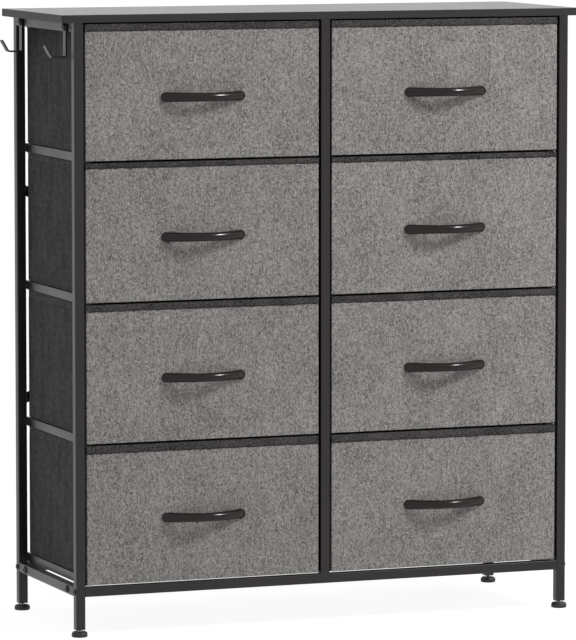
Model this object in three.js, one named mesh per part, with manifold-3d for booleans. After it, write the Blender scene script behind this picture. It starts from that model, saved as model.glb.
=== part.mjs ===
import * as THREE from 'three';
import { mergeVertices } from 'three/addons/utils/BufferGeometryUtils.js';
import Module from 'manifold-3d';

const wasm = await Module();
wasm.setup();

// Chest of eight fabric drawers in a frame of square steel tube, under one board.
// Millimetres, +Z up, the drawer fronts face -Y. The pieces are laid out from the middle of the
// frame's front plane at floor level, and the last lines move the origin to the middle of the base.

// Frame and board
const HEIGHT = 970;
const FRAME_WIDTH = 834;
const FRAME_DEPTH = 304;
const TUBE = 15;
const TUBE_WALL = 1.2;
const BOARD_THICKNESS = 12;
const BOARD_OVERHANG = 19.5;
const BOTTOM_RAIL_CLEARANCE = 63;

// Rails that carry the drawers
const ROW_COUNT = 4;
const DRAWER_RAIL_WIDTH = 15;
const DRAWER_RAIL_HEIGHT = 14;
const LOWEST_RAIL_GAP = 1.3;
const TOP_ROW_SHORTFALL = 17.3;

// Levelling feet
const FOOT_RADIUS = 12.5;
const FOOT_DISC_HEIGHT = 8.7;
const FOOT_CHAMFER = 1;
const FOOT_NECK = 2.8;
const STEM_RADIUS = 3;
const STEM_INSERT = 24;
const PLUG_HEIGHT = 10;
const ROUND_SIDES = 20;

// Crossed strips on the open back
const BRACE_WIDTH = 16;
const BRACE_THICKNESS = 1.5;
const BRACE_RISE = 344;
const BRACE_STEP_LENGTH = 70;
const BRACE_STEP_RUN = 12;
const BRACE_END = 4;

// Hooks on the left side
const HOOK_WIDTH = 13.5;
const HOOK_THICKNESS = 2.5;
const HOOK_FRONT_INSET = 39.5;
const HOOK_REAR_INSET = 45.5;
const HOOK_DROP = 40.5;
const HOOK_REACH = 35.6;
const HOOK_TIP_RUN = 10.1;
const HOOK_TIP_RISE = 17.4;
const HOOK_TOP_MARGIN = 2;
const SCREW_HEAD_RADIUS = 6;
const SCREW_HEAD_HEIGHT = 3.3;
const SCREW_HEAD_ROUNDING = 1.3;
const SCREW_SHANK_RADIUS = 2;
const SCREW_LENGTH = 10;

// Drawer fronts and boxes
const FRONT_SIDE_GAP = 3.5;
const FRONT_RECESS = 2;
const FRONT_THICKNESS = 4;
const FRONT_DROP = 12;
const FRONT_GAP = 3;
const BOARD_GAP = 2.5;
const HEM_HEIGHT = 12;
const BOX_WALL = 3;
const BOX_FLOOR = 4;
const BOX_TOP_GAP = 2.5;
const BOX_REAR_GAP = 2;
const RAIL_END_GAP = 3.5;

// Bow handles
const HANDLE_LENGTH = 140;
const HANDLE_HEIGHT = 13.7;
const HANDLE_END_HEIGHT = 15.5;
const HANDLE_REACH = 26;
const HANDLE_BAND = 7;
const HANDLE_FOOT = 15;
const HANDLE_DROP = 2.6;
const HANDLE_RISE_SHARE = 0.15;
const HANDLE_CROWN_SHARE = 0.43;
const HANDLE_CURVE_STEPS = 8;

// Fits
const SEAT_GAP = 0.3;
const CUT_OVERRUN = 1;

// Heights and places that follow
const boardUnderside = HEIGHT - BOARD_THICKNESS;
const legBottom = FOOT_DISC_HEIGHT + FOOT_NECK;
const bottomRailTop = BOTTOM_RAIL_CLEARANCE + TUBE;
const lowestRailTop = bottomRailTop + LOWEST_RAIL_GAP + DRAWER_RAIL_HEIGHT;
const rowPitch = (boardUnderside + TOP_ROW_SHORTFALL - lowestRailTop) / ROW_COUNT;
const postOuter = FRAME_WIDTH / 2;
const postInner = postOuter - TUBE;
const centreHalf = TUBE / 2;
const rearPostFront = FRAME_DEPTH - TUBE;
const frontBack = FRONT_RECESS + FRONT_THICKNESS;
const railFront = frontBack + RAIL_END_GAP;
const frontInnerEdge = centreHalf + FRONT_SIDE_GAP;
const frontOuterEdge = postInner - FRONT_SIDE_GAP;
const boxRear = rearPostFront - BOX_REAR_GAP;

const blackSteel = { color: 0x232324, roughness: 0.42, metalness: 0.55 };
const darkBoard = { color: 0x2f2e2d, roughness: 0.45, metalness: 0 };
const linen = { color: 0x7e7c7a, roughness: 0.95, metalness: 0 };
const darkFelt = { color: 0x333234, roughness: 0.95, metalness: 0 };
const blackPlastic = { color: 0x1f1d1d, roughness: 0.35, metalness: 0 };
const footPlastic = { color: 0x242425, roughness: 0.5, metalness: 0 };

const dresser = new THREE.Group();

function addPiece(parent, name, geometry, look) {
  const piece = new THREE.Mesh(geometry, new THREE.MeshStandardMaterial(look));
  piece.name = name;
  parent.add(piece);
  return piece;
}

// Box between two values on each axis
function block([left, right], [front, back], [bottom, top]) {
  const geometry = new THREE.BoxGeometry(right - left, back - front, top - bottom);
  return geometry.translate((left + right) / 2, (front + back) / 2, (bottom + top) / 2);
}

function toSolid(geometry) {
  const bare = geometry.clone();
  bare.deleteAttribute('normal');
  bare.deleteAttribute('uv');
  const merged = mergeVertices(bare);
  return new wasm.Manifold(new wasm.Mesh({
    numProp: 3,
    vertProperties: new Float32Array(merged.attributes.position.array),
    triVerts: new Uint32Array(merged.index.array),
  }));
}

function toGeometry(body) {
  const mesh = body.getMesh();
  const result = new THREE.BufferGeometry();
  result.setAttribute('position', new THREE.BufferAttribute(new Float32Array(mesh.vertProperties), 3));
  result.setIndex(new THREE.BufferAttribute(new Uint32Array(mesh.triVerts), 1));
  return result;
}

function cutAway(geometry, ...tools) {
  return toGeometry(tools.reduce((body, tool) => body.subtract(toSolid(tool)), toSolid(geometry)));
}

function keepCommon(one, other) {
  return toGeometry(toSolid(one).intersect(toSolid(other)));
}

function grow([low, high], margin) {
  return [low - margin, high + margin];
}

// Square tube open at both ends, along X or Y
function tubeAlongX(xRange, yRange, zRange) {
  const hollow = block(grow(xRange, CUT_OVERRUN), grow(yRange, -TUBE_WALL), grow(zRange, -TUBE_WALL));
  return cutAway(block(xRange, yRange, zRange), hollow);
}

function tubeAlongY(xRange, yRange, zRange) {
  const hollow = block(grow(xRange, -TUBE_WALL), grow(yRange, CUT_OVERRUN), grow(zRange, -TUBE_WALL));
  return cutAway(block(xRange, yRange, zRange), hollow);
}

// Pin or hole along X, from one value to another
function rodAlongX(radius, [left, right], y, z) {
  const rod = new THREE.CylinderGeometry(radius, radius, right - left, ROUND_SIDES);
  rod.rotateZ(Math.PI / 2);
  return rod.translate((left + right) / 2, y, z);
}

function addTopBoard() {
  const reach = postOuter + BOARD_OVERHANG;
  const board = block([-reach, reach], [0, FRAME_DEPTH], [boardUnderside, HEIGHT]);
  addPiece(dresser, 'top_board', board, darkBoard);
}

// A corner post is hollow above a plug, which is bored for the foot's stem
function cornerPost(xRange, yRange) {
  const body = block(xRange, yRange, [legBottom, boardUnderside]);
  const plugTop = legBottom + PLUG_HEIGHT;
  const hollowTop = boardUnderside + CUT_OVERRUN;
  const hollow = block(grow(xRange, -TUBE_WALL), grow(yRange, -TUBE_WALL), [plugTop, hollowTop]);
  const boreLength = PLUG_HEIGHT + CUT_OVERRUN + CUT_OVERRUN;
  const boreRadius = STEM_RADIUS + SEAT_GAP;
  const bore = new THREE.CylinderGeometry(boreRadius, boreRadius, boreLength, ROUND_SIDES);
  bore.rotateX(Math.PI / 2);
  bore.translate((xRange[0] + xRange[1]) / 2, (yRange[0] + yRange[1]) / 2, legBottom + PLUG_HEIGHT / 2);
  return cutAway(body, hollow, bore);
}

function centrePost(yRange) {
  const xRange = [-centreHalf, centreHalf];
  const zRange = [bottomRailTop, boardUnderside];
  const hollow = block(grow(xRange, -TUBE_WALL), grow(yRange, -TUBE_WALL), grow(zRange, CUT_OVERRUN));
  return cutAway(block(xRange, yRange, zRange), hollow);
}

const leftPostRange = [-postOuter, -postInner];
const rightPostRange = [postInner, postOuter];
const frontPostRange = [0, TUBE];
const rearPostRange = [rearPostFront, FRAME_DEPTH];
const betweenPosts = [TUBE, rearPostFront];

function addPosts() {
  for (const [depthName, yRange] of [['front', frontPostRange], ['rear', rearPostRange]]) {
    addPiece(dresser, `post_${depthName}_left`, cornerPost(leftPostRange, yRange), blackSteel);
    addPiece(dresser, `post_${depthName}_centre`, centrePost(yRange), blackSteel);
    addPiece(dresser, `post_${depthName}_right`, cornerPost(rightPostRange, yRange), blackSteel);
  }
}

// Hooks: plate on the left top rail, floor and slanted tip, with the screw that holds it
const topRailBottom = boardUnderside - TUBE;
const screwZ = (topRailBottom + boardUnderside) / 2;
const hookYs = [['front', HOOK_FRONT_INSET], ['rear', FRAME_DEPTH - HOOK_REAR_INSET]];
const screwHoleRadius = SCREW_SHANK_RADIUS + SEAT_GAP;

function hookOutline() {
  const tipAngle = Math.atan2(HOOK_TIP_RISE, HOOK_TIP_RUN);
  const tipX = HOOK_THICKNESS * Math.sin(tipAngle);
  const tipZ = HOOK_THICKNESS * Math.cos(tipAngle);
  const bendX = HOOK_REACH - HOOK_TIP_RUN - tipX;
  const top = boardUnderside - HOOK_TOP_MARGIN;
  const bottom = topRailBottom - HOOK_DROP;
  const floor = bottom + HOOK_THICKNESS;
  const outline = new THREE.Shape();
  outline.moveTo(0, top);
  outline.lineTo(0, bottom);
  outline.lineTo(-bendX - HOOK_THICKNESS * Math.tan(tipAngle / 2), bottom);
  outline.lineTo(-HOOK_REACH, floor + HOOK_TIP_RISE - tipZ);
  outline.lineTo(-HOOK_REACH + tipX, floor + HOOK_TIP_RISE);
  outline.lineTo(-bendX, floor);
  outline.lineTo(-HOOK_THICKNESS, floor);
  outline.lineTo(-HOOK_THICKNESS, top);
  return outline;
}

function hookGeometry(y) {
  const bent = new THREE.ExtrudeGeometry(hookOutline(), { depth: HOOK_WIDTH, bevelEnabled: false });
  bent.rotateX(Math.PI / 2);
  bent.translate(-postOuter - SEAT_GAP, y + HOOK_WIDTH / 2, 0);
  const outerFace = -postOuter - SEAT_GAP - HOOK_THICKNESS;
  const hole = rodAlongX(screwHoleRadius, grow([outerFace, -postOuter], CUT_OVERRUN), y, screwZ);
  return cutAway(bent, hole);
}

function screwGeometry(y) {
  const domeRadius = SCREW_HEAD_RADIUS - SCREW_HEAD_ROUNDING;
  const sideHeight = SCREW_HEAD_HEIGHT - SCREW_HEAD_ROUNDING;
  const profile = [
    new THREE.Vector2(0, -SCREW_LENGTH),
    new THREE.Vector2(SCREW_SHANK_RADIUS, -SCREW_LENGTH),
    new THREE.Vector2(SCREW_SHANK_RADIUS, 0),
    new THREE.Vector2(SCREW_HEAD_RADIUS, 0),
    new THREE.Vector2(SCREW_HEAD_RADIUS, sideHeight),
    new THREE.Vector2(domeRadius, SCREW_HEAD_HEIGHT),
    new THREE.Vector2(0, SCREW_HEAD_HEIGHT),
  ];
  const screw = new THREE.LatheGeometry(profile, ROUND_SIDES);
  screw.rotateZ(Math.PI / 2);
  const headSeat = -postOuter - SEAT_GAP - HOOK_THICKNESS - SEAT_GAP;
  return screw.translate(headSeat, y, screwZ);
}

function addHooks() {
  for (const [depthName, y] of hookYs) {
    addPiece(dresser, `hook_${depthName}`, hookGeometry(y), blackSteel);
    addPiece(dresser, `hook_screw_${depthName}`, screwGeometry(y), blackSteel);
  }
}

function addTopRails() {
  const zRange = [topRailBottom, boardUnderside];
  const holeRange = grow([-postOuter, -postOuter + TUBE_WALL], CUT_OVERRUN);
  const holes = hookYs.map(([, y]) => rodAlongX(screwHoleRadius, holeRange, y, screwZ));
  const left = cutAway(tubeAlongY(leftPostRange, betweenPosts, zRange), ...holes);
  addPiece(dresser, 'top_rail_left', left, blackSteel);
  addPiece(dresser, 'top_rail_centre', tubeAlongY([-centreHalf, centreHalf], betweenPosts, zRange), blackSteel);
  addPiece(dresser, 'top_rail_right', tubeAlongY(rightPostRange, betweenPosts, zRange), blackSteel);
}

function addBottomRails() {
  const zRange = [BOTTOM_RAIL_CLEARANCE, bottomRailTop];
  const acrossRange = [-postInner, postInner];
  addPiece(dresser, 'bottom_rail_front', tubeAlongX(acrossRange, frontPostRange, zRange), blackSteel);
  addPiece(dresser, 'bottom_rail_rear', tubeAlongX(acrossRange, rearPostRange, zRange), blackSteel);
  addPiece(dresser, 'bottom_rail_left', tubeAlongY(leftPostRange, betweenPosts, zRange), blackSteel);
  addPiece(dresser, 'bottom_rail_right', tubeAlongY(rightPostRange, betweenPosts, zRange), blackSteel);
}

// Row 1 is the top row
function railTop(row) {
  return lowestRailTop + (ROW_COUNT - row) * rowPitch;
}

function addDrawerRails(row) {
  const zRange = [railTop(row) - DRAWER_RAIL_HEIGHT, railTop(row)];
  const sideRange = [railFront, FRAME_DEPTH - railFront];
  const sideInner = postInner - DRAWER_RAIL_WIDTH;
  const centreReach = centreHalf + DRAWER_RAIL_WIDTH;
  const left = tubeAlongY([-postInner, -sideInner], sideRange, zRange);
  const centre = tubeAlongY([-centreReach, centreReach], betweenPosts, zRange);
  const right = tubeAlongY([sideInner, postInner], sideRange, zRange);
  addPiece(dresser, `drawer_rail_left_${row}`, left, blackSteel);
  addPiece(dresser, `drawer_rail_centre_${row}`, centre, blackSteel);
  addPiece(dresser, `drawer_rail_right_${row}`, right, blackSteel);
}

// One flat strip corner to corner; the outer one steps out to pass behind the other
function braceGeometry(tilt, stepOut) {
  const run = FRAME_WIDTH - TUBE;
  const halfLength = Math.hypot(run, BRACE_RISE) / 2 + BRACE_END;
  const flatHalf = BRACE_STEP_LENGTH / 2;
  const rampEnd = flatHalf + BRACE_STEP_RUN;
  const outline = new THREE.Shape();
  outline.moveTo(-halfLength, 0);
  outline.lineTo(-rampEnd, 0);
  outline.lineTo(-flatHalf, stepOut);
  outline.lineTo(flatHalf, stepOut);
  outline.lineTo(rampEnd, 0);
  outline.lineTo(halfLength, 0);
  outline.lineTo(halfLength, BRACE_THICKNESS);
  outline.lineTo(rampEnd, BRACE_THICKNESS);
  outline.lineTo(flatHalf, stepOut + BRACE_THICKNESS);
  outline.lineTo(-flatHalf, stepOut + BRACE_THICKNESS);
  outline.lineTo(-rampEnd, BRACE_THICKNESS);
  outline.lineTo(-halfLength, BRACE_THICKNESS);
  const strip = new THREE.ExtrudeGeometry(outline, { depth: BRACE_WIDTH, bevelEnabled: false });
  strip.translate(0, 0, -BRACE_WIDTH / 2);
  return strip.rotateY(tilt * Math.atan2(BRACE_RISE, run));
}

function addBraces() {
  const middleZ = (BOTTOM_RAIL_CLEARANCE + boardUnderside) / 2;
  const stepOut = BRACE_THICKNESS + SEAT_GAP;
  const inner = addPiece(dresser, 'back_brace_inner', braceGeometry(1, 0), blackSteel);
  const outer = addPiece(dresser, 'back_brace_outer', braceGeometry(-1, stepOut), blackSteel);
  inner.position.set(0, FRAME_DEPTH + SEAT_GAP, middleZ);
  outer.position.set(0, FRAME_DEPTH + SEAT_GAP, middleZ);
}

function footGeometry() {
  const profile = [
    new THREE.Vector2(0, 0),
    new THREE.Vector2(FOOT_RADIUS - FOOT_CHAMFER, 0),
    new THREE.Vector2(FOOT_RADIUS, FOOT_CHAMFER),
    new THREE.Vector2(FOOT_RADIUS, FOOT_DISC_HEIGHT - FOOT_CHAMFER),
    new THREE.Vector2(FOOT_RADIUS - FOOT_CHAMFER, FOOT_DISC_HEIGHT),
    new THREE.Vector2(STEM_RADIUS, FOOT_DISC_HEIGHT),
    new THREE.Vector2(STEM_RADIUS, legBottom + STEM_INSERT),
    new THREE.Vector2(0, legBottom + STEM_INSERT),
  ];
  return new THREE.LatheGeometry(profile, ROUND_SIDES).rotateX(Math.PI / 2);
}

function addFeet() {
  const footX = postOuter - TUBE / 2;
  for (const [depthName, y] of [['front', TUBE / 2], ['rear', FRAME_DEPTH - TUBE / 2]]) {
    for (const [sideName, x] of [['left', -footX], ['right', footX]]) {
      const foot = addPiece(dresser, `foot_${depthName}_${sideName}`, footGeometry(), footPlastic);
      foot.position.set(x, y, 0);
    }
  }
}

// Drawers: the front hangs down over the rail ends and reaches up to what is above it
function frontBottom(row) {
  return railTop(row) - FRONT_DROP;
}

function frontTop(row) {
  return row === 1 ? boardUnderside - BOARD_GAP : frontBottom(row - 1) - FRONT_GAP;
}

function boxGeometry(row, xRange) {
  const bottom = railTop(row) + SEAT_GAP;
  const top = row === 1 ? boardUnderside - BOX_TOP_GAP : railTop(row - 1) - DRAWER_RAIL_HEIGHT - BOX_TOP_GAP;
  const yRange = [frontBack, boxRear];
  const room = [bottom + BOX_FLOOR, top + CUT_OVERRUN];
  return cutAway(
    block(xRange, yRange, [bottom, top]),
    block(grow(xRange, -BOX_WALL), grow(yRange, -BOX_WALL), room),
  );
}

// The bow seen from above: both ends stand on the front at y = 0
function bowOutline() {
  const half = HANDLE_LENGTH / 2;
  const innerHalf = half - HANDLE_FOOT;
  const innerReach = HANDLE_REACH - HANDLE_BAND;
  const rise = -HANDLE_REACH * HANDLE_RISE_SHARE;
  const innerRise = -innerReach * HANDLE_RISE_SHARE;
  const crown = half * HANDLE_CROWN_SHARE;
  const innerCrown = innerHalf * HANDLE_CROWN_SHARE;
  const bow = new THREE.Shape();
  bow.moveTo(-half, 0);
  bow.bezierCurveTo(-half, rise, -crown, -HANDLE_REACH, 0, -HANDLE_REACH);
  bow.bezierCurveTo(crown, -HANDLE_REACH, half, rise, half, 0);
  bow.lineTo(innerHalf, 0);
  bow.bezierCurveTo(innerHalf, innerRise, innerCrown, -innerReach, 0, -innerReach);
  bow.bezierCurveTo(-innerCrown, -innerReach, -innerHalf, innerRise, -innerHalf, 0);
  return bow;
}

// The bow seen from the front: round ends, and a waist towards the middle
function bandOutline() {
  const endRadius = HANDLE_END_HEIGHT / 2;
  const endX = HANDLE_LENGTH / 2 - endRadius;
  const waistPull = HANDLE_HEIGHT - endRadius;
  const quarterTurn = Math.PI / 2;
  const band = new THREE.Shape();
  band.moveTo(-endX, -endRadius);
  band.quadraticCurveTo(0, -waistPull, endX, -endRadius);
  band.absarc(endX, 0, endRadius, -quarterTurn, quarterTurn);
  band.quadraticCurveTo(0, waistPull, -endX, endRadius);
  band.absarc(-endX, 0, endRadius, quarterTurn, quarterTurn + Math.PI);
  return band;
}

function handleGeometry() {
  const settings = { bevelEnabled: false, curveSegments: HANDLE_CURVE_STEPS };
  const bowHeight = HANDLE_END_HEIGHT + CUT_OVERRUN + CUT_OVERRUN;
  const bow = new THREE.ExtrudeGeometry(bowOutline(), { ...settings, depth: bowHeight });
  bow.translate(0, 0, -bowHeight / 2);
  const bandDepth = HANDLE_REACH + CUT_OVERRUN + CUT_OVERRUN;
  const band = new THREE.ExtrudeGeometry(bandOutline(), { ...settings, depth: bandDepth });
  band.rotateX(Math.PI / 2);
  band.translate(0, CUT_OVERRUN, 0);
  return keepCommon(bow, band);
}

function addDrawer(sideName, row, xRange) {
  const drawer = new THREE.Group();
  const bottom = frontBottom(row);
  const top = frontTop(row);
  const front = block(xRange, [FRONT_RECESS, frontBack], [bottom, top]);
  const linenMiddle = (bottom + top - HEM_HEIGHT) / 2;
  addPiece(drawer, `drawer_${sideName}_${row}_box`, boxGeometry(row, xRange), darkFelt);
  addPiece(drawer, `drawer_${sideName}_${row}_front`, front, linen);
  const handle = addPiece(drawer, `drawer_${sideName}_${row}_handle`, handleGeometry(), blackPlastic);
  handle.position.set((xRange[0] + xRange[1]) / 2, FRONT_RECESS, linenMiddle - HANDLE_DROP);
  dresser.add(drawer);
}

addTopBoard();
addPosts();
addTopRails();
addBottomRails();
addHooks();
addBraces();
addFeet();
for (let row = 1; row <= ROW_COUNT; row += 1) {
  addDrawerRails(row);
  addDrawer('left', row, [-frontOuterEdge, -frontInnerEdge]);
  addDrawer('right', row, [frontInnerEdge, frontOuterEdge]);
}

// The hooks reach out on the left, the handles in front and the braces behind
const hooksReach = postOuter + SEAT_GAP + HOOK_REACH;
const boardReach = postOuter + BOARD_OVERHANG;
const handlesReach = HANDLE_REACH - FRONT_RECESS;
const backReach = FRAME_DEPTH + SEAT_GAP + BRACE_THICKNESS + SEAT_GAP + BRACE_THICKNESS;
dresser.position.set((hooksReach - boardReach) / 2, (handlesReach - backReach) / 2, 0);

export default dresser;
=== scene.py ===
import math

import bmesh
import bpy
from mathutils import Matrix, Vector, noise


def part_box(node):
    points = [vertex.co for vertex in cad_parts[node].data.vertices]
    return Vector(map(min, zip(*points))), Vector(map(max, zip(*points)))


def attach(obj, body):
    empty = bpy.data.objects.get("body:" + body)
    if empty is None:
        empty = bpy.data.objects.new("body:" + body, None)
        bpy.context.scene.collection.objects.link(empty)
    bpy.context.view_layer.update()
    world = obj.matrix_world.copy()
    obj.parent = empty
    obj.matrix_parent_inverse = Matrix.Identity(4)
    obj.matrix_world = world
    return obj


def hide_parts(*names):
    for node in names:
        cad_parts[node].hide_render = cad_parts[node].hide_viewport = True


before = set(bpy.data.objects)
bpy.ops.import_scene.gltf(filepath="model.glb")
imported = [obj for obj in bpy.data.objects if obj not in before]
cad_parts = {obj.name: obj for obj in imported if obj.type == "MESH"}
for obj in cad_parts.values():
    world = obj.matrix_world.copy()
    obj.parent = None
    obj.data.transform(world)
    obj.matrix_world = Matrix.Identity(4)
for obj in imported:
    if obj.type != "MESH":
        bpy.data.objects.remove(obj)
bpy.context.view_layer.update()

# Fabric drawer dresser: eight cloth drawers in a frame of square steel tube, under a thin board.
# Pieces are built in millimetres, in the frame of the CAD nodes: x to the right, y to the rear,
# z up.
MM = 0.001
X, Y, Z = 0, 1, 2
SIDES = ("left", "right")
PLACES = ("left", "centre", "right")
DEPTHS = ("front", "rear")
ROWS = (1, 2, 3, 4)

# Tests on a mesh: distances in millimetres, angles in radians, agreeing directions as a cosine
MERGE_DISTANCE = 0.0005
TOUCHING = 0.01
FACING = 0.9
PARALLEL = 0.99
SQUARE_EDGE = 1.3
SHARP_ANGLE = math.radians(40)
SOFT_ANGLE = math.radians(50)

# Segments of a rounding
EDGE_STEPS = 2
CORNER_STEPS = 3
ROUND_STEPS = 5

# Camera, fitted to the photograph; it sees this many metres far
CAMERA_PLACE = (-2848.3, -7391.6, 1266.5)
CAMERA_AZIMUTH = 21.068
CAMERA_PITCH = -5.741
CAMERA_LENS = 278.78
SENSOR = 36
CAMERA_REACH = 200

# Light
WORLD_LIGHT = 0.58
KEY_WATTS = 98
KEY_WIDTH = 620
KEY_DISTANCE = 3600
KEY_AZIMUTH = 54
KEY_ELEVATION = 39
KEY_TARGET = (0, -140, 500)
FLOOR_HALF_WIDTH = 60000
FLOOR_GLOW = 0.93
FLOOR_SHADE_SHARE = 0.16

# Steel tube
TUBE_WALL = 1.2
TUBE_CORNER = 1.4
WELD_RADIUS = 1.3
WELD_RIPPLE = 0.25
WELD_RIPPLE_PITCH = 1.9
WELD_SEGMENTS = 8
WELD_LEAST_STEPS = 4
WELD_INSET = 2
RAIL_WELD_INSET = 1.5
RAIL_PLUG_DEPTH = 4
RAIL_PLUG_INSET = 0.4
PLUG_ROUNDING = 0.6
LEG_PLUG_LENGTH = 9

# Board
BAND_THICKNESS = 0.9
BAND_SEAM = 0.15
BOARD_CORNER = 2.5
BAND_EDGE = 0.35
CORE_EDGE = 0.2

# Strips and hooks
HOOK_THICKNESS = 2.5
HOOK_BEND = 2
HOOK_BEND_STEPS = 6
HOOK_TIP_CORNER = 2
HOOK_TIP_RUN = 10.1
HOOK_TIP_RISE = 17.4
STRIP_EDGE = 0.35
BRACE_THICKNESS = 1.5
BRACE_WIDTH = 16
BRACE_RISE = 344
BRACE_FLAT_HALF = 35
BRACE_RAMP = 12
BRACE_STEP = 1.8
BRACE_END = 4
BRACE_HOLE_INSET = 7
BRACE_CORNER = 5.6
BRACE_EDGE = 0.25

# Screws: each head has a radius, a height and a recess radius, and shares of the last two
SCREW_STEPS = 24
SHOULDER_SHARE = 0.32
DOME_START_SHARE = 1.18
RECESS_FLOOR_SHARE = 0.25
RECESS_TAPER_SHARE = 0.96
RECESS_RIM_SHARE = 0.93
CROSS_ARM_ANGLE = 0.3
CROSS_HUB_SHARE = 0.42
HOOK_SCREW = (6, 3.3, 2.5)
POST_SCREW = (4.5, 2.6, 2.0)
RAIL_SCREW = (6.2, 3.0, 2.5)
PAN_SCREW = (4.2, 2.2, 2.2)
SHANK_RADIUS = 2
SHANK_LENGTH = 8
FRAME_SCREW_RISE = 7.7
RAIL_SCREW_INSET = 46.5
HANDLE_HOLE_HALF = 64
BOARD_SCREW_SHARES = (0.16, 0.84)

# Levelling feet
FOOT_RADIUS = 12.5
FOOT_HEIGHT = 8.7
FOOT_TOP_ROUNDING = 4.2
FOOT_BASE_ROUNDING = 1.6
FOOT_STEPS = 40
FOOT_HOLLOW = 0.6
STEM_RADIUS = 3
STEM_SINK = 1
THREAD_DEPTH = 0.3
THREAD_PITCH = 1.0
THREAD_STEPS = 18
THREAD_RINGS = 4

# Cloth boxes
BOX_CORNER = 1.3
BOX_BASE_ROUNDING = 0.5
BOX_WALL = 2.6
BOX_HEM_HEIGHT = 12
BOX_HEM_PROUD = 0.7
BOX_HEM_ROUNDING = 1.5
BOX_HEM_BASE_ROUNDING = 0.3
BOX_HEM_STEPS = 4
BOX_HEM_RISE = 2.2
WAVE_MEAN = 0.5
FOLD_DEPTH = 0.9
FOLD_WIDTH = 17
FOLD_LENGTH = 130
FOLD_SHARE = 0.75
FOLD_SIDE_HOLD = 22
FOLD_RISE_HOLD = 26
FOLD_UNDER_HEM = 4
CREASE_SHARE = 0.3
CREASE_NARROWING = 2.3
CREASE_SHORTENING = 1.7
WALL_PITCH = 6
WALL_RISE_PITCH = 18
PIPING_RADIUS = 1.2
PIPING_SEGMENTS = 8
PIPING_INSET = 0.39
PIPING_LIFT = 1.3
PIPING_UNDER_HEM = 2
PIPING_FRONT_GAP = 3
PIPING_TURN = 5
BASE_BOARD_THICKNESS = 1.9
BASE_BOARD_MARGIN = 1.5
BASE_BOARD_CORNER = 3
BASE_BOARD_ROUNDING = 0.7

# Fronts
FRONT_ROUNDING = 1.1
FRONT_STEPS = 4
FRONT_PITCH = 14
FRONT_WAVE = 0.3
FRONT_WAVE_LENGTH = 75
FRONT_HOLD = 18
LINEN_INSET = 0.2
LINEN_LIFT = 0.6
LINEN_TOP_DROP = 0.8
LOWEST_LINEN_DROP = 0.8
HEM_HEIGHTS = (12, 9.3, 11.3, 13)
HEM_PROUD = 1.3
HEM_OVERHANG = 0.2
HEM_ROUNDING = 1.3
HEM_TUCK = 1.3
HEM_TUCK_HEIGHT = 3
HEM_WAVE = 0.5
HEM_WAVE_LENGTH = 9
HEM_HOLD = 10
HEM_PITCH = 2.6
HEM_RISE_PITCH = 3
HEM_EDGE_WAVE = 0.15
# Stitches are drawn thicker than real thread, so that their dark row also paints a shade line
# along the hems.
STITCH_LENGTH = 2.7
STITCH_PITCH = 3.7
STITCH_RADIUS = 0.5
STITCH_RISE = 2.4
STITCH_SEGMENTS = 6
STITCH_RINGS = 4
BOX_STITCH_INSET = 6
FRONT_STITCH_INSET = 4

# Steps between the places in the noise from which the cloth's folds and waves are taken
ROW_SEED_STEP = 3.7
SIDE_SEED_STEP = 11.3
WALL_SEED_STEP = 5
CREASE_SEED_STEP = 9

# Handles
HANDLE_LENGTH = 140
HANDLE_WAIST = 13.7
HANDLE_END_HEIGHT = 15.5
HANDLE_REACH = 26
HANDLE_BAND = 7
HANDLE_FOOT = 15
HANDLE_RISE_SHARE = 0.15
HANDLE_CROWN_SHARE = 0.43
HANDLE_STATIONS = 44
HANDLE_SEGMENTS = 24
HANDLE_FACE_SHARE = 0.9
HANDLE_BACK_SQUARENESS = 0.5
HANDLE_SWEEP = 0.985
HANDLE_SWEEP_START = 0.0075
BISECTIONS = 40


def corners(node):
    """A node's lowest and highest corner, in millimetres."""
    low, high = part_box(node)
    return low / MM, high / MM


# Mesh helpers

def new_box(low, high):
    mesh = bmesh.new()
    size = high - low
    place = Matrix.Translation((low + high) / 2) @ Matrix.Diagonal((*size, 1))
    bmesh.ops.create_cube(mesh, size=1, matrix=place)
    mesh.normal_update()
    return mesh


def faces_across(mesh, axis, sides=(-1, 1)):
    return [f for f in mesh.faces if any(f.normal[axis] * side > FACING for side in sides)]


def edges_along(mesh, axis):
    return [e for e in mesh.edges
            if abs((e.verts[1].co - e.verts[0].co).normalized()[axis]) > PARALLEL]


def square_edges(mesh, low=-math.inf, high=math.inf):
    """Edges whose faces meet squarely, with both ends between two heights."""
    return [e for e in mesh.edges if e.calc_face_angle(0) > SQUARE_EDGE
            and all(low < v.co.z < high for v in e.verts)]


def remove_faces(mesh, faces):
    bmesh.ops.delete(mesh, geom=faces, context="FACES_ONLY")


def round_edges(mesh, edges, radius, steps, affect="EDGES"):
    bmesh.ops.bevel(mesh, geom=edges, offset=radius, offset_type="OFFSET", affect=affect,
                    segments=steps, profile=0.5, material=-1)
    mesh.normal_update()


def thicken(mesh, thickness):
    """Gives a sheet of faces a thickness."""
    bmesh.ops.recalc_face_normals(mesh, faces=mesh.faces)
    bmesh.ops.solidify(mesh, geom=mesh.faces[:], thickness=thickness)


def swept_line(points, sweep):
    """A sheet: an open line through points, swept along a vector."""
    mesh = bmesh.new()
    verts = [mesh.verts.new(point) for point in points]
    edges = [mesh.edges.new(pair) for pair in zip(verts, verts[1:])]
    made = bmesh.ops.extrude_edge_only(mesh, edges=edges)["geom"]
    swept = [item for item in made if isinstance(item, bmesh.types.BMVert)]
    bmesh.ops.translate(mesh, verts=swept, vec=sweep)
    return mesh


def append(mesh, part):
    """Adds one bmesh to another."""
    data = bpy.data.meshes.new("joined")
    part.to_mesh(data)
    part.free()
    mesh.from_mesh(data)
    bpy.data.meshes.remove(data)


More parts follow.
